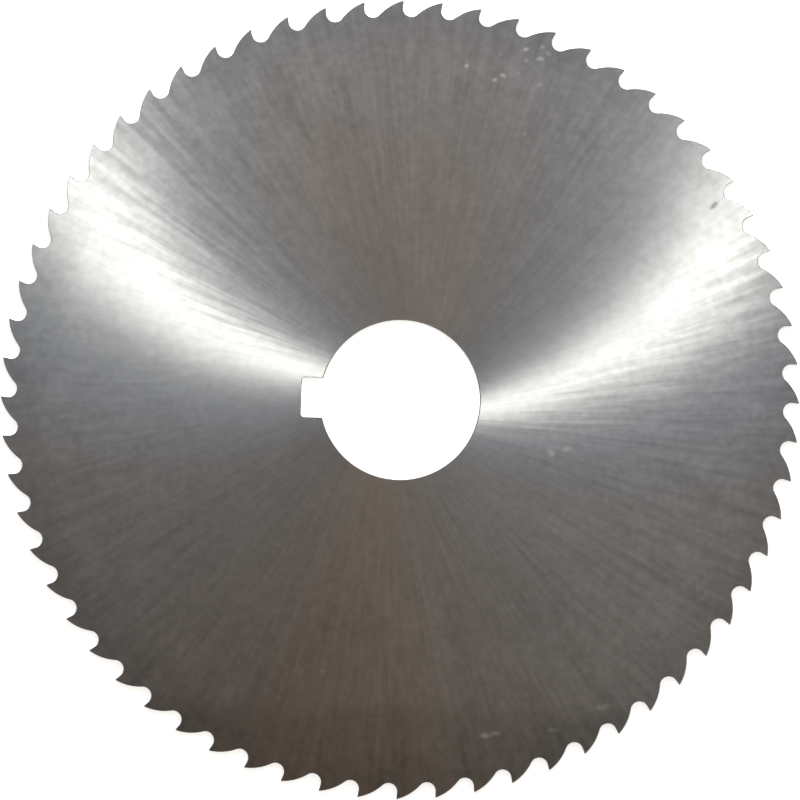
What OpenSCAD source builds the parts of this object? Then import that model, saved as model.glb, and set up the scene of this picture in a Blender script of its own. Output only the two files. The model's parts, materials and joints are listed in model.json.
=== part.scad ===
// Metal slitting saw: a thin round blade of tool steel with curved-back teeth round the rim,
// a plain bore and one keyway. It lies flat: its axis is Z and its lower face is on Z = 0.
// The origin is on the axis, and the keyway points to -X. Seen from above, it cuts clockwise.

/* [Blade] */
// Diameter over the tooth tips
blade_d = 160; // [130:1:200]
// Thickness at the rim, which is the width of the slit that it cuts
blade_w = 2; // [1:0.1:6]
// Width of the flat rim that carries the teeth, measured in from the tooth tips
rim_w = 5; // [4.2:0.1:12]
// Depth of the hollow grinding on each side, from the rim down to the hub
side_relief = 0.08; // [0.01:0.01:0.3]
// Diameter of the flat hub that the arbor collars clamp
hub_d = 47; // [43:1:100]

/* [Bore and keyway] */
// Diameter of the bore
bore_d = 32; // [16:0.5:34]
// Chamfer at both ends of the bore
bore_chamfer = 0.2; // [0.05:0.05:0.35]
// Width of the keyway
keyway_w = 8; // [3:0.5:14]
// Size from the keyway floor across to the far side of the bore
keyway_across = 35.8; // [34:0.1:38]
// Radius in the two corners of the keyway floor
keyway_corner_r = 0.7; // [0.1:0.1:1.4]

/* [Teeth] */
// Number of teeth
tooth_count = 64; // [48:1:80]
// Depth of the tooth gaps below the tooth tips
tooth_depth = 3.2; // [2.4:0.1:4]
// Angle that the cutting faces lean forward of the radius, in degrees
rake_angle = 7.5; // [0:0.5:15]
// Angle that the tooth backs fall away at the tips, in degrees
clearance_angle = 15; // [8:0.5:22]
// Radius of the round gullets
gullet_r = 1.75; // [1:0.05:2]
// Width of the round-ground land on each tooth tip
tip_land = 0.15; // [0.05:0.05:0.4]
// Angle from +X to the first tooth tip, counter-clockwise, in degrees
first_tip_angle = 1.2; // [0:0.1:5.6]

/* [Hidden] */
steel_colour = "#6f6a65";
$fn = 180;

// Cutting shapes reach this far past the faces that they cut through
cut_margin = 1;
// A gullet is cut this much wider than its tangent circle, so that it crosses both tooth flanks
flank_overlap = 0.004;

tip_r = blade_d / 2;
bore_r = bore_d / 2;
hub_r = hub_d / 2;
hub_bottom = side_relief;
hub_top = blade_w - side_relief;
keyway_floor = keyway_across - bore_r;
pitch_angle = 360 / tooth_count;
land_angle = tip_land / tip_r * 180 / PI;

// Point at a radius and an angle from the axis
function polar(radius, angle) = radius * [cos(angle), sin(angle)];

// One tooth gap, with the tip of the tooth behind it on +X and the next tooth clockwise of it
tip = polar(tip_r, 0);
face_inward = -polar(1, -rake_angle);
face_outlook = polar(1, -rake_angle - 90);
// The gullet circle touches the cutting face and goes tooth_depth below the tips
gullet_centre_r = tip_r - tooth_depth + gullet_r;
gullet_start = tip + gullet_r * face_outlook;
half_way = -gullet_start * face_inward;
face_length = half_way - sqrt(half_way ^ 2 - gullet_start * gullet_start + gullet_centre_r ^ 2);
face_foot = tip + face_length * face_inward;
gullet_centre = face_foot + gullet_r * face_outlook;
// The back arc leaves the heel of the next land at the clearance angle and touches the gullet
heel_angle = land_angle - pitch_angle;
heel = polar(tip_r, heel_angle);
back_inward = -polar(1, heel_angle + clearance_angle);
rise = heel - gullet_centre;
back_r = (rise * rise - gullet_r ^ 2) / (2 * (gullet_r - rise * back_inward));
back_centre = heel + back_r * back_inward;
// The gap opens outwards between the line of the cutting face and the middle of the next land
face_out = tip - tooth_depth * face_inward;
land_middle_angle = heel_angle - land_angle / 2;
land_inside = polar(tip_r - tooth_depth / 2, land_middle_angle);
land_outside = polar(tip_r + tooth_depth, land_middle_angle);

// Outline of one tooth gap: a straight cutting face, a round gullet and a round tooth back
module tooth_gap() {
    difference() {
        polygon([face_out, face_foot, gullet_centre, back_centre, land_inside, land_outside]);
        translate(back_centre) circle(back_r);
    }
    translate(gullet_centre) circle(gullet_r + flank_overlap);
}

// Outline of the keyway, from the bore axis out to its rounded floor
module keyway_outline() {
    corner_x = keyway_corner_r - keyway_floor;
    corner_y = keyway_w / 2 - keyway_corner_r;
    translate([corner_x, -keyway_w / 2]) square([-corner_x, keyway_w]);
    translate([-keyway_floor, -corner_y]) square([keyway_floor, 2 * corner_y]);
    for (side = [-1, 1])
        translate([corner_x, side * corner_y]) circle(keyway_corner_r);
}

// Turned disc with a flat rim and a flat hub, ground hollow between them, and a chamfered bore
module ground_disc() {
    rotate_extrude()
        polygon([
            [bore_r, hub_bottom + bore_chamfer],
            [bore_r + bore_chamfer, hub_bottom],
            [hub_r, hub_bottom],
            [tip_r - rim_w, 0],
            [tip_r, 0],
            [tip_r, blade_w],
            [tip_r - rim_w, blade_w],
            [hub_r, hub_top],
            [bore_r + bore_chamfer, hub_top],
            [bore_r, hub_top - bore_chamfer],
        ]);
}

// Runs a flat outline right through the thickness of the blade
module through_cut() {
    translate([0, 0, -cut_margin])
        linear_extrude(blade_w + 2 * cut_margin)
            children();
}

module saw_blade() {
    color(steel_colour)
        difference() {
            ground_disc();
            through_cut() keyway_outline();
            for (i = [0 : tooth_count - 1])
                rotate(first_tip_angle + i * pitch_angle)
                    through_cut() tooth_gap();
        }
}

saw_blade();
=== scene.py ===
"""Slitting saw blade, dressed for a product photograph.

One ground steel blade is worked out as a surface on a grid and laid on a pale floor. It is lit by
a small bright lamp above and beyond its upper edge, a cool glow round that lamp, a soft box and a
dim room. Everything is in metres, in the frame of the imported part.
"""

import json
import math

import bpy
import numpy as np
from bpy.props import FloatProperty, FloatVectorProperty, IntProperty, PointerProperty
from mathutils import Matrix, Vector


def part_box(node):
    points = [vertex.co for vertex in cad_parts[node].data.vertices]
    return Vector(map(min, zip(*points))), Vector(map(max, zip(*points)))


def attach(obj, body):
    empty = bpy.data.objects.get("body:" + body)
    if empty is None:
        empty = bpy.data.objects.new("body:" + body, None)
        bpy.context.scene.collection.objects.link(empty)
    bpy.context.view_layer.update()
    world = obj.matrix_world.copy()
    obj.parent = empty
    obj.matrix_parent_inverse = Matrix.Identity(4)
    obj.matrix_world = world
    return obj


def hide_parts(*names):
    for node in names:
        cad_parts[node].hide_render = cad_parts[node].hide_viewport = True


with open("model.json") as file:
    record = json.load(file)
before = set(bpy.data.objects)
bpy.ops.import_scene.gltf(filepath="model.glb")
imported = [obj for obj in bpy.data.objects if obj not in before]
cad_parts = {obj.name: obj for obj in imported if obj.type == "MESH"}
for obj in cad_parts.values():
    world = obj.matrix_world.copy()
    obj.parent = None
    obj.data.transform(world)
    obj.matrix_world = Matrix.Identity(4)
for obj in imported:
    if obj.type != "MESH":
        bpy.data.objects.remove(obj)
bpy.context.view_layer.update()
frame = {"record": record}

bl_info = {
    "name": "Slitting Saw",
    "version": (1, 0, 0),
    "blender": (4, 5, 0),
    "location": "View3D > Sidebar > Saw",
    "description": "Builds a ground steel slitting saw blade and the stage that it is shown on",
    "category": "Object",
}

MM = 0.001
NODE = "saw_blade"
BODY = "root"

# Faces belong to the two sides where the upright share of their normal is at least this
SIDE_UPRIGHT = 0.9
# Edges that turn by more than this stay sharp
SHARP_ANGLE = math.radians(30)

# Single marks: x, y, half length and half width in mm, turn in degrees, and strength
DUST_GRAINS = (
    (11.3, 67.3, 0.6, 0.5, 80, 0.45), (18.7, 65.6, 0.8, 0.5, -30, 0.45),
    (17.0, 64.7, 0.6, 0.6, 0, 0.40), (23.1, 71.0, 0.7, 0.5, 10, 0.40),
    (26.4, 71.6, 0.6, 0.5, 20, 0.28), (27.6, 70.3, 0.8, 0.5, -40, 0.25),
    (25.9, 69.2, 1.0, 0.5, 10, 0.38), (23.2, 68.8, 0.5, 0.4, 0, 0.22),
    (26.2, 64.0, 0.6, 0.5, 20, 0.20), (21.7, 66.3, 0.5, 0.4, 0, 0.16),
    (18.0, 69.8, 0.5, 0.5, 0, 0.16), (23.3, 54.1, 0.7, 0.5, 60, 0.16),
    (19.0, -66.7, 1.3, 0.6, 2, 0.30), (21.1, -66.2, 1.3, 0.5, 2, 0.26),
    (32.6, -65.2, 1.4, 0.6, 4, 0.17), (42.1, -60.4, 1.3, 0.6, 4, 0.20),
    (43.1, -60.1, 1.0, 0.6, 4, 0.18), (-45.2, -33.3, 0.7, 0.6, 0, 0.08),
    (-23.6, -29.8, 0.7, 0.6, 0, 0.08), (-23.6, -43.0, 0.8, 0.6, 0, 0.10),
    (-15.0, -48.0, 0.7, 0.6, 0, 0.08), (-13.7, -54.9, 0.8, 0.6, 0, 0.10),
    (-26.6, -18.4, 0.9, 0.6, 0, 0.07), (30.6, -9.7, 1.0, 0.7, -30, 0.26),
    (33.8, -8.7, 1.0, 0.6, 5, 0.22),
)
STAIN = (61.7, 40.9, 1.4, 0.6, 42, 0.6)
TARNISH = (-20.0, 46.0, 30.0, 15.0, 107, 1.0)

# Grinding scratches, fine and coarse: width, length, detail of the noise and sideways swing.
# Real ones are a few hundredths of a millimetre wide, so these are drawn coarse enough to show.
SCRATCHES = (
    (0.9 * MM, 15 * MM, 1.5, math.radians(3)),
    (1.8 * MM, 30 * MM, 2.5, math.radians(5)),
)
# Radius at which the scratches have the width given above
SCRATCH_RADIUS = 48 * MM
# Strength of the finer scratches inside each one
SCRATCH_GRAIN = 0.6

# Blotches from handling and paler and darker clouds from wiping, by their size
MOTTLE_SIZE = 1.5 * MM
CLOUD_SIZE = 6 * MM
# How strongly fine and coarse scratches, mottling and clouding shade the steel
SHADING = (0.22, 0.17, 0.24, 0.16)
# The wheel cut coarser towards the teeth: share of that shading at the bore and at the tips
SHADING_GAIN = (0.8, 1.55)

# Darkening towards the teeth starts at one radius, is full at the other and leaves this share
RIM_DARKENING_START = 69 * MM
RIM_DARKENING_FULL = 77 * MM
RIM_DARKENING_SHARE = 0.87

# How far from the axis, on its own side, the film starts and is full, and how far clouding moves it
FILM_START = 63 * MM
FILM_FULL = 69 * MM
FILM_SHIFT = 8 * MM

# Thin scatter of dust: spacing, a grain's edge and core as shares of it, and its strongest cover.
# Only grains that draw more than the least chance show.
SCATTER_SPACING = 1.7 * MM
SCATTER_EDGE = 0.30
SCATTER_CORE = 0.08
SCATTER_COVER = 0.05
SCATTER_CHANCE = 0.5

# Roughness of the sides, what a fine scratch changes in it and what dust adds, and of the flanks
SIDE_ROUGHNESS = 0.427
SCRATCH_ROUGHNESS = -0.03
DUST_ROUGHNESS = 0.6
FLANK_ROUGHNESS = 0.34

# Bars across the flanks: width, and how much the thickness is squeezed where their noise is read,
# so that each bar runs right through
BAR_WIDTH = 0.15 * MM
BAR_SQUEEZE = 0.04
# Most of the bars' noise lies in the first range, which becomes the second, their shade
BAR_NOISE = (0.3, 0.7)
BAR_SHADE = (0.8, 1.1)

# Sockets of a Mix node for colours: its factor, its two colours and its result
FACTOR, FIRST, SECOND, MIXED = 0, 6, 7, 2

# Floor: radius of its flat part and of the cove round it, height of the wall, how far it lies
# under the blade, and its glow
FLOOR_RADIUS = 3.0
COVE_RADIUS = 1.0
WALL_HEIGHT = 2.0
FLOOR_GAP = 0.05 * MM
FLOOR_GLOW = 0.8

# Warm walls of the room: bearing of their middles, and the cosines of the angles from there at
# which they end and are full
WALL_BEARING = math.radians(-2.5)
WALL_END = 0.913
WALL_FULL = 0.943

# Width of the camera's sensor in mm
SENSOR_WIDTH = 36

# Lamps: place in the picture's frame, width and depth
LAMPS = {
    "key": ((0.002, 0.183, 0.288), 0.031, 0.031),
    "halo": ((0.002, 0.185, 0.291), 0.208, 0.250),
    "soft": ((0.054, 0.188, 0.405), 0.504, 0.505),
}


def mount(name):
    """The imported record's mount of that name."""
    return next(m for m in frame["record"]["mounts"] if m["name"] == name)


def linear(code):
    """An sRGB hex colour as linear red, green and blue."""
    parts = np.array([int(code[i:i + 2], 16) for i in (1, 3, 5)]) / 255
    low = parts / 12.92
    high = ((parts + 0.055) / 1.055) ** 2.4
    return tuple(float(v) for v in np.where(parts <= 0.04045, low, high))


def rgba(colour):
    """A linear colour with full alpha, as colour sockets want it."""
    return (*colour, 1.0)


class SlittingSawSizes(bpy.types.PropertyGroup):
    """Sizes of the blade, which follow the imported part"""

    tip_radius: FloatProperty(
        name="Tip radius", description="From the axis to the tooth tips",
        default=80 * MM, unit="LENGTH")
    thickness: FloatProperty(
        name="Thickness", description="Thickness of the blade at the rim",
        default=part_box(NODE)[1][2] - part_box(NODE)[0][2], unit="LENGTH")
    rim_width: FloatProperty(
        name="Rim width", description="Width of the flat rim that carries the teeth",
        default=5 * MM, unit="LENGTH")
    hub_radius: FloatProperty(
        name="Hub radius", description="Radius of the flat hub round the bore",
        default=23.5 * MM, unit="LENGTH")
    side_relief: FloatProperty(
        name="Side relief", description="Depth of the hollow grinding on each side",
        default=mount("lower_collar_face")["pos_m"][2], unit="LENGTH")
    bore_radius: FloatProperty(
        name="Bore radius", description="Radius of the arbor bore",
        default=mount("arbor_bore")["dims"]["r_mm"] * MM, unit="LENGTH")
    bore_chamfer: FloatProperty(
        name="Bore chamfer", description="Chamfer at both ends of the bore",
        default=0.2 * MM, unit="LENGTH")
    keyway_width: FloatProperty(
        name="Keyway width", description="Width of the keyway",
        default=8 * MM, unit="LENGTH")
    keyway_floor: FloatProperty(
        name="Keyway floor", description="From the axis to the keyway's floor",
        default=-mount("keyway")["pos_m"][0], unit="LENGTH")
    keyway_corner: FloatProperty(
        name="Keyway corner", description="Radius in the corners of the keyway's floor",
        default=0.7 * MM, unit="LENGTH")
    tooth_count: IntProperty(
        name="Teeth", description="Number of teeth", default=64, min=48, max=80)
    tooth_depth: FloatProperty(
        name="Tooth depth", description="Depth of the gaps below the tooth tips",
        default=3.2 * MM, unit="LENGTH")
    gullet_radius: FloatProperty(
        name="Gullet radius", description="Radius of the round gullets",
        default=1.75 * MM, unit="LENGTH")
    tip_land: FloatProperty(
        name="Tip land", description="Width of the land on each tooth tip",
        default=0.15 * MM, unit="LENGTH")
    rake: FloatProperty(
        name="Rake", description="Forward lean of the cutting faces",
        default=math.radians(7.5), subtype="ANGLE")
    clearance: FloatProperty(
        name="Clearance", description="Fall of the tooth backs at the tips",
        default=math.radians(15), subtype="ANGLE")
    first_tip: FloatProperty(
        name="First tip", description="Angle from +X to the first tooth tip",
        default=math.radians(1.2), subtype="ANGLE")
    edge_break: FloatProperty(
        name="Edge break", description="Width of the broken edge along teeth and keyway",
        default=0.1 * MM, unit="LENGTH")


class SlittingSawFinish(bpy.types.PropertyGroup):
    """Colours of the steel, its film and its dust, and the run of its grinding scratches"""

    steel: FloatVectorProperty(
        name="Steel", description="Colour of the ground faces",
        default=linear("#868380"), subtype="COLOR", size=3)
    flank: FloatVectorProperty(
        name="Flank", description="Colour of the ground tooth flanks and the bore",
        default=linear("#75726F"), subtype="COLOR", size=3)
    film: FloatVectorProperty(
        name="Film", description="Colour of the steel under its thin brown film",
        default=linear("#7B7874"), subtype="COLOR", size=3)
    film_side: FloatProperty(
        name="Film side", description="Direction from the axis to the edge with the film",
        default=math.radians(-90), subtype="ANGLE")
    tarnish: FloatVectorProperty(
        name="Tarnish", description="Colour of the steel where handling has turned it warmer",
        default=linear("#8A837C"), subtype="COLOR", size=3)
    dust: FloatVectorProperty(
        name="Dust", description="Colour of dull pale dust",
        default=linear("#DAD6CE"), subtype="COLOR", size=3)
    grind_offset: FloatProperty(
        name="Grind offset", description="Distance of the grinding scratches from the axis",
        default=3.3 * MM, unit="LENGTH")


class SlittingSawStage(bpy.types.PropertyGroup):
    """Camera, lamps and floor"""

    view_width: FloatProperty(
        name="View width", description="Width of the picture at the blade",
        default=160.3 * MM, unit="LENGTH")
    view_height: FloatProperty(
        name="View height", description="Height of the camera over the blade",
        default=1.6, unit="LENGTH")
    view_turn: FloatProperty(
        name="View turn", description="Turn of the camera about the blade's axis",
        default=math.radians(1.75), subtype="ANGLE")
    floor: FloatVectorProperty(
        name="Floor", description="Colour of the floor",
        default=linear("#F4F4F3"), subtype="COLOR", size=3)
    key_colour: FloatVectorProperty(
        name="Key colour", description="Colour of the small key lamp",
        default=linear("#F9FDFA"), subtype="COLOR", size=3)
    key_brightness: FloatProperty(
        name="Key brightness", description="Radiance of the small key lamp", default=258.2, min=0)
    halo_colour: FloatVectorProperty(
        name="Halo colour", description="Colour of the cool glow round the key lamp",
        default=linear("#9CCCFF"), subtype="COLOR", size=3)
    halo_brightness: FloatProperty(
        name="Halo brightness", description="Radiance of the cool glow", default=1.40, min=0)
    soft_colour: FloatVectorProperty(
        name="Soft box colour", description="Colour of the soft box overhead",
        default=linear("#FDFFFD"), subtype="COLOR", size=3)
    soft_brightness: FloatProperty(
        name="Soft box brightness", description="Radiance of the soft box", default=0.84, min=0)
    room: FloatVectorProperty(
        name="Room", description="Light of the room before and behind the blade",
        default=linear("#928B87"), subtype="COLOR", size=3)
    side_walls: FloatVectorProperty(
        name="Side walls", description="Light of the warm walls to the left and right",
        default=linear("#B09A85"), subtype="COLOR", size=3)


def polar(radius, angle):
    """Points at a radius and an angle from the axis, as rows of x and y."""
    return np.stack([radius * np.cos(angle), radius * np.sin(angle)], axis=-1)


def arc(centre, start, end, count):
    """Points on the short arc about a centre from start to end, with end left out."""
    from_centre = np.array([start - centre, end - centre])
    first, last = np.arctan2(from_centre[:, 1], from_centre[:, 0])
    sweep = (last - first + math.pi) % (2 * math.pi) - math.pi
    angles = first + sweep * np.arange(count) / count
    return centre + polar(np.linalg.norm(start - centre), angles)


def straight(start, end, count):
    """Points on the line from start to end, with end left out."""
    share = np.arange(count)[:, None] / count
    return start + share * (end - start)


def tooth_outline(sizes, gullet_points=12, face_points=4, land_points=1, back_points=13):
    """One tooth, counter-clockwise from the foot of the tooth back before it.

    The tip is on +X. The gullet circle touches the cutting face and goes one tooth depth below
    the tips. The back arc leaves the heel of the land at the clearance angle and touches the
    next gullet circle, so its radius follows from the heel and that circle's centre.
    """
    pitch = 2 * math.pi / sizes.tooth_count
    tip = polar(sizes.tip_radius, 0)
    inward = -polar(1, -sizes.rake)
    outlook = polar(1, -sizes.rake - math.pi / 2)
    gullet_r = sizes.gullet_radius
    centre_r = sizes.tip_radius - sizes.tooth_depth + gullet_r
    start = tip + gullet_r * outlook
    half_way = -start @ inward
    face_length = half_way - math.sqrt(half_way ** 2 - start @ start + centre_r ** 2)
    face_foot = tip + face_length * inward
    gullet_centre = face_foot + gullet_r * outlook

    heel_angle = sizes.tip_land / sizes.tip_radius
    heel = polar(sizes.tip_radius, heel_angle)
    back_inward = -polar(1, heel_angle + sizes.clearance)
    turn = np.array([[math.cos(pitch), -math.sin(pitch)], [math.sin(pitch), math.cos(pitch)]])
    next_centre = turn @ gullet_centre
    rise = heel - next_centre
    back_r = (rise @ rise - gullet_r ** 2) / (2 * (gullet_r - rise @ back_inward))
    back_centre = heel + back_r * back_inward
    towards_back = (back_centre - next_centre) / (back_r + gullet_r)
    next_foot = next_centre + gullet_r * towards_back
    back_foot = turn.T @ next_foot

    lowest = gullet_centre - gullet_r * gullet_centre / np.linalg.norm(gullet_centre)
    half_gullet = gullet_points // 2
    return np.concatenate([
        arc(gullet_centre, back_foot, lowest, gullet_points - half_gullet),
        arc(gullet_centre, lowest, face_foot, half_gullet),
        straight(face_foot, tip, face_points),
        straight(tip, heel, land_points),
        arc(back_centre, heel, next_foot, back_points),
    ])


def toothed_rim(sizes):
    """The whole rim: the outline of one tooth turned to every tooth's place."""
    tooth = tooth_outline(sizes)
    turns = sizes.first_tip + 2 * math.pi * np.arange(sizes.tooth_count) / sizes.tooth_count
    radius = np.linalg.norm(tooth, axis=1)
    angle = np.arctan2(tooth[:, 1], tooth[:, 0])
    return polar(radius, angle + turns[:, None]).reshape(-1, 2)


def drawn_in(outline, distance, least_spread=0.3):
    """A counter-clockwise outline moved inwards, with its corners mitred.

    A corner moves along the sum of its two edges' inward normals, over one plus their product.
    The least spread keeps that divisor from vanishing at a very sharp corner.
    """
    ahead = np.roll(outline, -1, axis=0) - outline
    ahead /= np.linalg.norm(ahead, axis=1, keepdims=True)
    inward = np.stack([-ahead[:, 1], ahead[:, 0]], axis=1)
    before = np.roll(inward, 1, axis=0)
    spread = 1 + np.sum(inward * before, axis=1, keepdims=True)
    return outline + distance * (inward + before) / np.maximum(spread, least_spread)


def under_rim_angles(outline, sizes, set_back=0.22):
    """Angles on the circle under the teeth that the rim's points are joined to.

    They follow the length along the outline, so that the faces under an overhanging cutting
    face stay the right way up, and they are set back behind that face by a share of the pitch.
    """
    step = np.linalg.norm(np.roll(outline, -1, axis=0) - outline, axis=1)
    length = np.concatenate([[0], np.cumsum(step)[:-1]]) / step.sum()
    first = math.atan2(outline[0, 1], outline[0, 0])
    pitch = 2 * math.pi / sizes.tooth_count
    return first + set_back * pitch + 2 * math.pi * length


def hole_radius(angle, bore_r, half_width, floor, corner_r, least_angle=1e-6):
    """Distance from the axis to the edge of the bore and its keyway at each angle.

    The keyway points to -X. Its edge is the nearer of its floor and its wall, rounded by the
    corner circle, and the hole's edge is the farther of that and the bore. The least angle keeps
    the two divisors from vanishing.
    """
    off_axis = np.abs(angle % (2 * math.pi) - math.pi)
    off_axis = np.clip(off_axis, least_angle, math.pi / 2 - least_angle)
    flat = np.minimum(floor / np.cos(off_axis), half_width / np.sin(off_axis))
    centre = np.array([floor - corner_r, half_width - corner_r])
    centre_r, centre_angle = np.linalg.norm(centre), math.atan2(centre[1], centre[0])
    swing = off_axis - centre_angle
    inside = np.maximum(corner_r ** 2 - (centre_r * np.sin(swing)) ** 2, 0)
    rounded = centre_r * np.cos(swing) + np.sqrt(inside)
    x, y = flat * np.cos(off_axis), flat * np.sin(off_axis)
    in_corner = (x > centre[0]) & (y > centre[1])
    return np.maximum(np.where(in_corner, rounded, flat), bore_r)


def hole_outline(angles, bore_r, half_width, floor, corner_r):
    """The bore and keyway's outline, with points moved on to the keyway's mouth corners."""
    angles = angles.copy()
    mouth = math.asin(half_width / bore_r)
    for corner in (math.pi - mouth, math.pi + mouth):
        away = (angles - corner + math.pi) % (2 * math.pi) - math.pi
        nearest = np.argmin(np.abs(away))
        angles[nearest] -= away[nearest]
    return polar(hole_radius(angles, bore_r, half_width, floor, corner_r), angles)


def blade_surface(sizes, face_rings=7):
    """The blade as one closed surface on a grid that runs round the axis and round its section.

    The section goes out over the upper side from the bore to the teeth, down the tooth flanks,
    back under the lower side and up the bore. Between the hub and the rim each side is a very
    flat cone. Rings pass from the angles at the bore to those under the teeth by equal shares.
    """
    half_width = sizes.keyway_width / 2
    edge = sizes.edge_break
    top, hub_top = sizes.thickness, sizes.thickness - sizes.side_relief
    rim_r = sizes.tip_radius - sizes.rim_width

    rim = toothed_rim(sizes)
    rim_face = drawn_in(rim, edge)
    angles = under_rim_angles(rim, sizes)
    even = angles[0] + 2 * math.pi * np.arange(len(angles)) / len(angles)
    hole = (sizes.bore_radius, half_width, sizes.keyway_floor, sizes.keyway_corner)
    wall = hole_outline(even, *hole)
    mouth = hole_outline(
        even, sizes.bore_radius + sizes.bore_chamfer, half_width + edge,
        sizes.keyway_floor + edge, sizes.keyway_corner + edge)
    just_outside = sizes.bore_radius + edge / 10
    in_keyway = np.linalg.norm(wall, axis=1) > just_outside
    drop = np.where(in_keyway, edge, sizes.bore_chamfer)

    share = np.linspace(0, 1, face_rings)
    rings = [
        (polar(sizes.hub_radius + s * (rim_r - sizes.hub_radius), even + s * (angles - even)),
         hub_top + s * sizes.side_relief)
        for s in share
    ]
    upper = [(mouth, hub_top), *rings, (rim_face, top), (rim, top - edge)]
    lower = [(flat, top - height) for flat, height in reversed(upper)]
    bore = [(wall, top - hub_top + drop), (wall, hub_top - drop)]
    loops = [*upper, *lower, *bore]
    count = len(angles)
    return np.stack([
        np.column_stack([flat, np.broadcast_to(height, count)]) for flat, height in loops
    ])


def grid_mesh(name, points, wrap_section):
    """A mesh of the quads between neighbouring rows and columns of a grid of points.

    Columns always run right round. Rows do so too where wrap_section is true.
    """
    rows, columns = points.shape[:2]
    index = np.arange(rows * columns).reshape(rows, columns)
    ahead = np.roll(index, -1, axis=1)
    last = rows if wrap_section else rows - 1
    following = np.roll(index, -1, axis=0)
    following_ahead = np.roll(following, -1, axis=1)
    quads = np.stack([index, following, following_ahead, ahead], axis=-1)[:last].reshape(-1, 4)
    mesh = bpy.data.meshes.new(name)
    mesh.vertices.add(rows * columns)
    mesh.vertices.foreach_set("co", points.reshape(-1).astype(np.float32))
    mesh.loops.add(quads.size)
    mesh.loops.foreach_set("vertex_index", quads.reshape(-1).astype(np.int32))
    mesh.polygons.add(len(quads))
    mesh.polygons.foreach_set("loop_start", np.arange(0, quads.size, 4, dtype=np.int32))
    mesh.update(calc_edges=True)
    mesh.validate()
    return mesh


def add_object(name, mesh):
    """A mesh as an object at the origin, in the scene."""
    made = bpy.data.objects.new(name, mesh)
    bpy.context.scene.collection.objects.link(made)
    return made


def add_node(tree, kind, inputs=None, **settings):
    """Add a node, make its settings, then set or link each of its named or numbered inputs.

    An input may be a plain value, another node's socket, or a node, which gives its first output.
    """
    made = tree.nodes.new(kind)
    for key, value in settings.items():
        setattr(made, key, value)
    for key, value in (inputs or {}).items():
        if isinstance(value, bpy.types.Node):
            value = value.outputs[0]
        if isinstance(value, bpy.types.NodeSocket):
            tree.links.new(value, made.inputs[key])
        else:
            made.inputs[key].default_value = value
    return made


def new_material(name):
    """An empty node material and its output node."""
    material = bpy.data.materials.new(name)
    material.use_nodes = True
    material.node_tree.nodes.clear()
    return material, material.node_tree, add_node(material.node_tree, "ShaderNodeOutputMaterial")


def scratch_pattern(tree, place, offset):
    """Each point's radius, its grinding scratches' direction, and two noises drawn out along them.

    The scratches are straight lines that pass the axis at the offset, so a scratch's direction is
    the point's angle plus the arc sine of offset over radius. Each noise is read on a circle of
    those directions and along the radius, which makes streaks of the width and length that
    SCRATCHES gives, and it swings single scratches a little out of line.
    """
    flat = add_node(tree, "ShaderNodeVectorMath", {0: place, 1: (1, 1, 0)}, operation="MULTIPLY")
    radius = add_node(tree, "ShaderNodeVectorMath", {0: flat}, operation="LENGTH").outputs["Value"]
    axes = add_node(tree, "ShaderNodeSeparateXYZ", {0: place}).outputs
    angle = add_node(tree, "ShaderNodeMath", {0: axes["Y"], 1: axes["X"]}, operation="ARCTAN2")
    lean = add_node(tree, "ShaderNodeMath", {0: offset, 1: radius}, operation="DIVIDE")
    lean = add_node(tree, "ShaderNodeMath", {0: lean}, operation="ARCSINE")
    heading = add_node(tree, "ShaderNodeMath", {0: angle, 1: lean}, operation="ADD")
    cosine = add_node(tree, "ShaderNodeMath", {0: heading}, operation="COSINE")
    sine = add_node(tree, "ShaderNodeMath", {0: heading}, operation="SINE")
    noises = []
    swung = heading
    for width, length, detail, swing in SCRATCHES:
        around = SCRATCH_RADIUS / width
        along = add_node(
            tree, "ShaderNodeMath", {0: radius, 1: 1 / (length * around)}, operation="MULTIPLY")
        spot = add_node(tree, "ShaderNodeCombineXYZ", {"X": cosine, "Y": sine, "Z": along})
        noise = add_node(tree, "ShaderNodeTexNoise", {
            "Vector": spot, "Scale": around, "Detail": detail, "Roughness": SCRATCH_GRAIN})
        noises.append(noise)
        centred = add_node(tree, "ShaderNodeMath", {0: noise, 1: 0.5}, operation="SUBTRACT")
        swung = add_node(
            tree, "ShaderNodeMath", {0: centred, 1: swing, 2: swung}, operation="MULTIPLY_ADD")
    return radius, swung, *noises


def oblong_mark(tree, place, height, mark, core=0.1, edge=1.3):
    """How much one soft oblong mark covers each point.

    It covers most within its core and nothing past its edge, both as shares of its half size.
    """
    x, y, length, width, turn, most = mark
    near = add_node(tree, "ShaderNodeMapping", {
        "Vector": place, "Location": (x * MM, y * MM, height),
        "Rotation": (0, 0, math.radians(turn)),
        "Scale": (length * MM, width * MM, width * MM)}, vector_type="TEXTURE")
    away = add_node(tree, "ShaderNodeVectorMath", {0: near}, operation="LENGTH").outputs["Value"]
    return add_node(tree, "ShaderNodeMapRange", {
        "Value": away, "From Min": edge, "From Max": core, "To Max": most},
        interpolation_type="SMOOTHSTEP")


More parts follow.
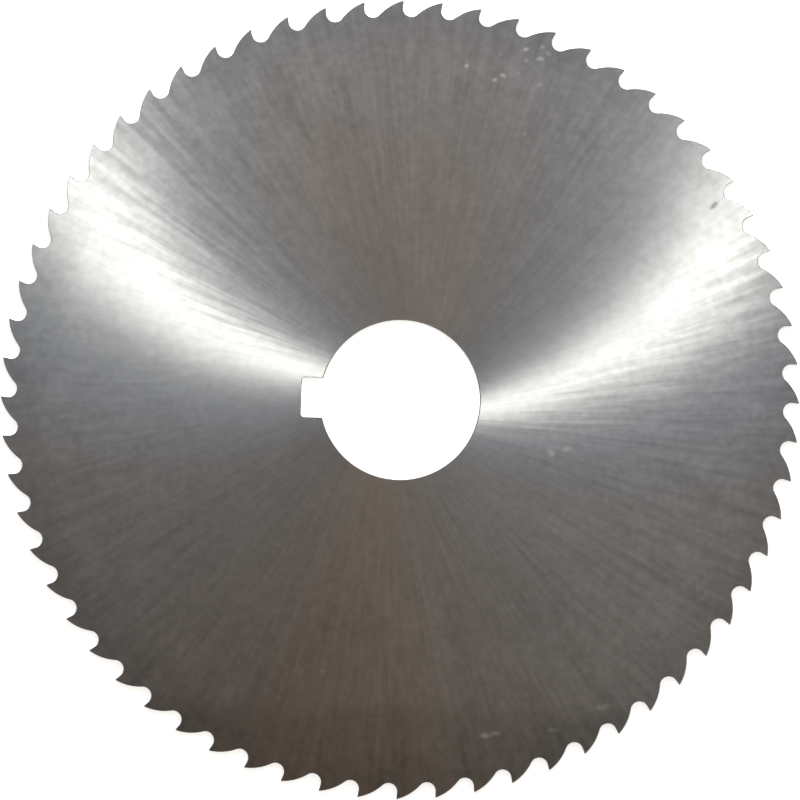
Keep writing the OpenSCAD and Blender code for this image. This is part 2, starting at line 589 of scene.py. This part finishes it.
def dust_pattern(tree, place, height):
    """How much of each point is covered by dust: single grains, and a thin random scatter."""
    scatter = add_node(tree, "ShaderNodeTexVoronoi", {
        "Vector": place, "Scale": 1 / SCATTER_SPACING})
    grain = add_node(tree, "ShaderNodeMapRange", {
        "Value": scatter.outputs["Distance"], "From Min": SCATTER_EDGE, "From Max": SCATTER_CORE,
        "To Max": SCATTER_COVER}, interpolation_type="SMOOTHSTEP")
    chance = add_node(tree, "ShaderNodeSeparateXYZ", {0: scatter.outputs["Color"]})
    kept = add_node(tree, "ShaderNodeMapRange", {
        "Value": chance, "From Min": SCATTER_CHANCE, "From Max": 1.0})
    cover = add_node(tree, "ShaderNodeMath", {0: grain, 1: kept}, operation="MULTIPLY")
    for mark in DUST_GRAINS:
        spot = oblong_mark(tree, place, height, mark)
        cover = add_node(tree, "ShaderNodeMath", {0: cover, 1: spot}, operation="MAXIMUM")
    return cover


def shaken_place(tree, place, size=0.5 * MM):
    """Each point moved at random by up to half the size, so that no mark has a regular edge."""
    shake = add_node(tree, "ShaderNodeTexNoise", {
        "Vector": place, "Scale": 1 / size, "Detail": 1.0}).outputs["Color"]
    shake = add_node(
        tree, "ShaderNodeVectorMath", {0: shake, 1: (0.5, 0.5, 0.5)}, operation="SUBTRACT")
    return add_node(tree, "ShaderNodeVectorMath", {
        0: shake, 1: (size, size, 0), 2: place}, operation="MULTIPLY_ADD")


def ground_face_material(finish, sizes):
    """Hardened tool steel, ground flat by a cup wheel whose path just missed the axis.

    The wheel left long fine scratches, almost radial, so a lamp shows as two bright bands that
    fan out from the bore, broken up into hairlines because no two scratches lie quite alike.
    Handling left faint mottling and clouding, dull grains of dust and one dark stain. The colour
    darkens towards the teeth, a patch has turned warmer and a thin brown film lies along one edge.
    """
    material, tree, output = new_material("ground_tool_steel")
    place = add_node(tree, "ShaderNodeTexCoord").outputs["Object"]
    radius, heading, fine, coarse = scratch_pattern(tree, place, finish.grind_offset)

    across = add_node(tree, "ShaderNodeMath", {0: heading, 1: math.pi / 2}, operation="ADD")
    tangent = add_node(tree, "ShaderNodeCombineXYZ", {
        "X": add_node(tree, "ShaderNodeMath", {0: across}, operation="COSINE"),
        "Y": add_node(tree, "ShaderNodeMath", {0: across}, operation="SINE")})

    mottle = add_node(tree, "ShaderNodeTexNoise", {
        "Vector": place, "Scale": 1 / MOTTLE_SIZE, "Detail": 1.0, "Roughness": 0.5})
    cloud = add_node(tree, "ShaderNodeTexNoise", {
        "Vector": place, "Scale": 1 / CLOUD_SIZE, "Detail": 2.0, "Roughness": 0.5})
    marks = 0.0
    for noise, strength in zip((fine, coarse, mottle, cloud), SHADING):
        centred = add_node(tree, "ShaderNodeMath", {0: noise, 1: 0.5}, operation="SUBTRACT")
        marks = add_node(
            tree, "ShaderNodeMath", {0: centred, 1: strength, 2: marks}, operation="MULTIPLY_ADD")
    gain = add_node(tree, "ShaderNodeMapRange", {
        "Value": radius, "From Min": sizes.bore_radius, "From Max": sizes.tip_radius,
        "To Min": SHADING_GAIN[0], "To Max": SHADING_GAIN[1]})
    shade = add_node(tree, "ShaderNodeMath", {0: marks, 1: gain, 2: 1.0}, operation="MULTIPLY_ADD")
    # The colour is made darker towards the teeth, down to the share above
    rim_darkening = add_node(tree, "ShaderNodeMapRange", {
        "Value": radius, "From Min": RIM_DARKENING_START, "From Max": RIM_DARKENING_FULL,
        "To Min": 1.0, "To Max": RIM_DARKENING_SHARE})
    shade = add_node(tree, "ShaderNodeMath", {0: shade, 1: rim_darkening}, operation="MULTIPLY")
    shaken = shaken_place(tree, place)
    stain = oblong_mark(tree, shaken, sizes.thickness, STAIN)
    kept = add_node(tree, "ShaderNodeMath", {0: 1.0, 1: stain}, operation="SUBTRACT")
    shade = add_node(tree, "ShaderNodeMath", {0: shade, 1: kept}, operation="MULTIPLY")

    low = add_node(tree, "ShaderNodeVectorMath", {
        0: place, 1: (*polar(1, finish.film_side), 0)}, operation="DOT_PRODUCT").outputs["Value"]
    low = add_node(tree, "ShaderNodeMath", {
        0: cloud, 1: FILM_SHIFT, 2: low}, operation="MULTIPLY_ADD")
    film = add_node(tree, "ShaderNodeMapRange", {
        "Value": low, "From Min": FILM_START, "From Max": FILM_FULL},
        interpolation_type="SMOOTHSTEP")
    tinted = add_node(tree, "ShaderNodeMix", {
        FACTOR: film, FIRST: rgba(finish.steel), SECOND: rgba(finish.film)},
        data_type="RGBA").outputs[MIXED]
    touched = oblong_mark(tree, place, sizes.thickness, TARNISH)
    tinted = add_node(tree, "ShaderNodeMix", {
        FACTOR: touched, FIRST: tinted, SECOND: rgba(finish.tarnish)},
        data_type="RGBA").outputs[MIXED]
    shaded = add_node(tree, "ShaderNodeVectorMath", {0: tinted, "Scale": shade}, operation="SCALE")
    dust = dust_pattern(tree, shaken, sizes.thickness)
    colour = add_node(tree, "ShaderNodeMix", {
        FACTOR: dust, FIRST: shaded, SECOND: rgba(finish.dust)}, data_type="RGBA").outputs[MIXED]
    rough = add_node(tree, "ShaderNodeMath", {
        0: fine, 1: SCRATCH_ROUGHNESS, 2: SIDE_ROUGHNESS}, operation="MULTIPLY_ADD")
    rough = add_node(tree, "ShaderNodeMath", {
        0: dust, 1: DUST_ROUGHNESS, 2: rough}, operation="MULTIPLY_ADD")
    bare = add_node(tree, "ShaderNodeMath", {0: 1.0, 1: dust}, operation="SUBTRACT")
    steel = add_node(tree, "ShaderNodeBsdfPrincipled", {
        "Base Color": colour, "Metallic": bare, "Roughness": rough, "Anisotropic": 1.0,
        "Tangent": tangent})
    tree.links.new(steel.outputs[0], output.inputs["Surface"])
    return material


def ground_flank_material(finish):
    """The same steel where a profiled wheel ground the tooth gaps straight through the blade.

    Its scratches run through the thickness, so they only show as fine bars across the flanks,
    drawn a little coarser than real ones so that they show.
    """
    material, tree, output = new_material("ground_tool_steel_flank")
    place = add_node(tree, "ShaderNodeTexCoord").outputs["Object"]
    squeezed = add_node(
        tree, "ShaderNodeVectorMath", {0: place, 1: (1, 1, BAR_SQUEEZE)}, operation="MULTIPLY")
    bars = add_node(tree, "ShaderNodeTexNoise", {
        "Vector": squeezed, "Scale": 1 / BAR_WIDTH, "Detail": 2.0})
    shade = add_node(tree, "ShaderNodeMapRange", {
        "Value": bars, "From Min": BAR_NOISE[0], "From Max": BAR_NOISE[1],
        "To Min": BAR_SHADE[0], "To Max": BAR_SHADE[1]})
    colour = add_node(
        tree, "ShaderNodeVectorMath", {0: finish.flank, "Scale": shade}, operation="SCALE")
    steel = add_node(tree, "ShaderNodeBsdfPrincipled", {
        "Base Color": colour, "Metallic": 1.0, "Roughness": FLANK_ROUGHNESS})
    tree.links.new(steel.outputs[0], output.inputs["Surface"])
    return material


def floor_material(colour):
    """Matt white card, which glows to the eye and in reflections so that it shows white.

    Only its upper side shows, so that the blade can be looked at from below.
    """
    material, tree, output = new_material("white_card")
    path = add_node(tree, "ShaderNodeLightPath").outputs
    seen = add_node(tree, "ShaderNodeMath", {
        0: path["Is Camera Ray"], 1: path["Is Glossy Ray"]}, operation="ADD")
    seen = add_node(tree, "ShaderNodeMath", {
        0: seen, 1: path["Is Transmission Ray"]}, operation="ADD")
    glow = add_node(tree, "ShaderNodeMath", {0: seen, 1: FLOOR_GLOW}, operation="MULTIPLY")
    card = add_node(tree, "ShaderNodeBsdfDiffuse", {"Color": rgba(colour)})
    light = add_node(tree, "ShaderNodeEmission", {"Color": rgba(colour), "Strength": glow})
    both = add_node(tree, "ShaderNodeAddShader", {0: card, 1: light})
    clear = add_node(tree, "ShaderNodeBsdfTransparent")
    behind = add_node(tree, "ShaderNodeNewGeometry").outputs["Backfacing"]
    one_sided = add_node(tree, "ShaderNodeMixShader", {0: behind, 1: both, 2: clear})
    tree.links.new(one_sided.outputs[0], output.inputs["Surface"])
    return material


class SLITTINGSAW_OT_blade(bpy.types.Operator):
    """Build the saw blade in place of its plain solid"""

    bl_idname = "slitting_saw.blade"
    bl_label = "Saw Blade"

    def execute(self, context):
        sizes = context.scene.slitting_saw_sizes
        finish = context.scene.slitting_saw_finish
        points = blade_surface(sizes)
        mesh = grid_mesh("saw_blade_ground", points, wrap_section=True)
        blade = add_object("saw_blade_ground", mesh)
        mesh.materials.append(ground_face_material(finish, sizes))
        mesh.materials.append(ground_flank_material(finish))
        normals = np.empty(len(mesh.polygons) * 3, dtype=np.float32)
        mesh.polygons.foreach_get("normal", normals)
        on_flank = np.abs(normals.reshape(-1, 3)[:, 2]) < SIDE_UPRIGHT
        mesh.polygons.foreach_set("material_index", on_flank.astype(np.int32))
        mesh.polygons.foreach_set("use_smooth", np.ones(len(mesh.polygons), dtype=bool))
        mesh.set_sharp_from_angle(angle=SHARP_ANGLE)
        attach(blade, BODY)
        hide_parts(NODE)
        return {"FINISHED"}


def cove_surface(radius, cove_radius, height, inner=0.2, columns=96, cove_rows=12):
    """A round floor whose edge sweeps up into a wall: a flat disc, a quarter circle, a cylinder.

    The disc has one ring at the inner radius, between its middle and its edge.
    """
    turn = np.linspace(0, math.pi / 2, cove_rows)
    swept = radius + cove_radius * np.sin(turn)
    across = np.concatenate([[0, inner], swept, [radius + cove_radius]])
    up = np.concatenate([[0, 0], cove_radius * (1 - np.cos(turn)), [height]])
    angles = 2 * math.pi * np.arange(columns) / columns
    flat = polar(across[:, None], angles)
    heights = np.broadcast_to(up[:, None, None], (*flat.shape[:2], 1))
    return np.concatenate([flat, heights], axis=-1)


class SLITTINGSAW_OT_stage(bpy.types.Operator):
    """Lay the floor, hang the lamps and set up the camera"""

    bl_idname = "slitting_saw.stage"
    bl_label = "Stage"

    def execute(self, context):
        scene = context.scene
        stage = scene.slitting_saw_stage
        points = cove_surface(FLOOR_RADIUS, COVE_RADIUS, WALL_HEIGHT)
        points[..., 2] -= FLOOR_GAP
        floor = add_object("floor", grid_mesh("floor", points, wrap_section=False))
        floor.data.materials.append(floor_material(stage.floor))
        smooth = np.ones(len(floor.data.polygons), dtype=bool)
        floor.data.polygons.foreach_set("use_smooth", smooth)
        for name, (place, width, depth) in LAMPS.items():
            self.add_lamp(scene, stage, name, place, width, depth)
        self.light_room(scene, stage)
        self.add_camera(scene, stage)
        scene.view_settings.view_transform = "Standard"
        return {"FINISHED"}

    @staticmethod
    def add_lamp(scene, stage, name, place, width, depth):
        """An area lamp at a place in the picture's frame, aimed at the blade's centre.

        Its power is its radiance times pi times its area.
        """
        light = bpy.data.lights.new(name + "_lamp", "AREA")
        light.shape = "RECTANGLE"
        light.size, light.size_y = width, depth
        light.energy = getattr(stage, name + "_brightness") * math.pi * width * depth
        light.color = getattr(stage, name + "_colour")
        lamp = bpy.data.objects.new(name + "_lamp", light)
        x, y = polar(math.hypot(*place[:2]), math.atan2(place[1], place[0]) + stage.view_turn)
        lamp.location = (x, y, place[2])
        lamp.rotation_euler = lamp.location.to_track_quat("Z", "Y").to_euler()
        lamp.visible_camera = False
        scene.collection.objects.link(lamp)

    @staticmethod
    def light_room(scene, stage):
        """A dim room: warm walls to the left and right, plain ones before and behind."""
        world = bpy.data.worlds.new("room")
        world.use_nodes = True
        tree = world.node_tree
        ray = add_node(tree, "ShaderNodeTexCoord").outputs["Generated"]
        level = add_node(tree, "ShaderNodeVectorMath", {
            0: ray, 1: (1, 1, 0)}, operation="MULTIPLY").outputs[0]
        heading = add_node(
            tree, "ShaderNodeVectorMath", {0: level}, operation="NORMALIZE").outputs[0]
        middle = (*polar(1, WALL_BEARING), 0)
        aside = add_node(tree, "ShaderNodeVectorMath", {
            0: heading, 1: middle}, operation="DOT_PRODUCT").outputs["Value"]
        near = add_node(tree, "ShaderNodeMath", {0: aside}, operation="ABSOLUTE").outputs[0]
        wall = add_node(tree, "ShaderNodeMapRange", {
            "Value": near, "From Min": WALL_END, "From Max": WALL_FULL},
            interpolation_type="SMOOTHSTEP")
        tint = add_node(tree, "ShaderNodeMix", {
            FACTOR: wall, FIRST: rgba(stage.room), SECOND: rgba(stage.side_walls)},
            data_type="RGBA").outputs[MIXED]
        tree.links.new(tint, tree.nodes["Background"].inputs["Color"])
        scene.world = world

    @staticmethod
    def add_camera(scene, stage):
        """A long lens straight above the blade."""
        data = bpy.data.cameras.new("camera")
        data.sensor_width = SENSOR_WIDTH
        data.lens = data.sensor_width * stage.view_height / stage.view_width
        camera = bpy.data.objects.new("camera", data)
        camera.location = (0, 0, stage.view_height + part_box(NODE)[1][2])
        camera.rotation_euler = (0, 0, stage.view_turn)
        scene.collection.objects.link(camera)
        scene.camera = camera


class SLITTINGSAW_PT_panel(bpy.types.Panel):
    """Sizes, colours and the pieces to build"""

    bl_idname = "SLITTINGSAW_PT_panel"
    bl_label = "Slitting Saw"
    bl_space_type = "VIEW_3D"
    bl_region_type = "UI"
    bl_category = "Saw"

    def draw(self, context):
        layout = self.layout
        for name in ("sizes", "finish", "stage"):
            group = getattr(context.scene, "slitting_saw_" + name)
            box = layout.box()
            for key in group.__annotations__:
                box.prop(group, key)
        for operator in OPERATORS:
            layout.operator(operator.bl_idname)


GROUPS = {
    "slitting_saw_sizes": SlittingSawSizes,
    "slitting_saw_finish": SlittingSawFinish,
    "slitting_saw_stage": SlittingSawStage,
}
OPERATORS = (SLITTINGSAW_OT_blade, SLITTINGSAW_OT_stage)
CLASSES = (*GROUPS.values(), *OPERATORS, SLITTINGSAW_PT_panel)


def register():
    """Register the classes and give the scene its settings."""
    for cls in CLASSES:
        bpy.utils.register_class(cls)
    for name, group in GROUPS.items():
        setattr(bpy.types.Scene, name, PointerProperty(type=group))


def unregister():
    """Take the settings and the classes away again."""
    for name in GROUPS:
        delattr(bpy.types.Scene, name)
    for cls in reversed(CLASSES):
        bpy.utils.unregister_class(cls)


def main():
    """Build the blade and its stage."""
    register()
    bpy.ops.slitting_saw.blade()
    bpy.ops.slitting_saw.stage()


if __name__ == "__main__":
    main()
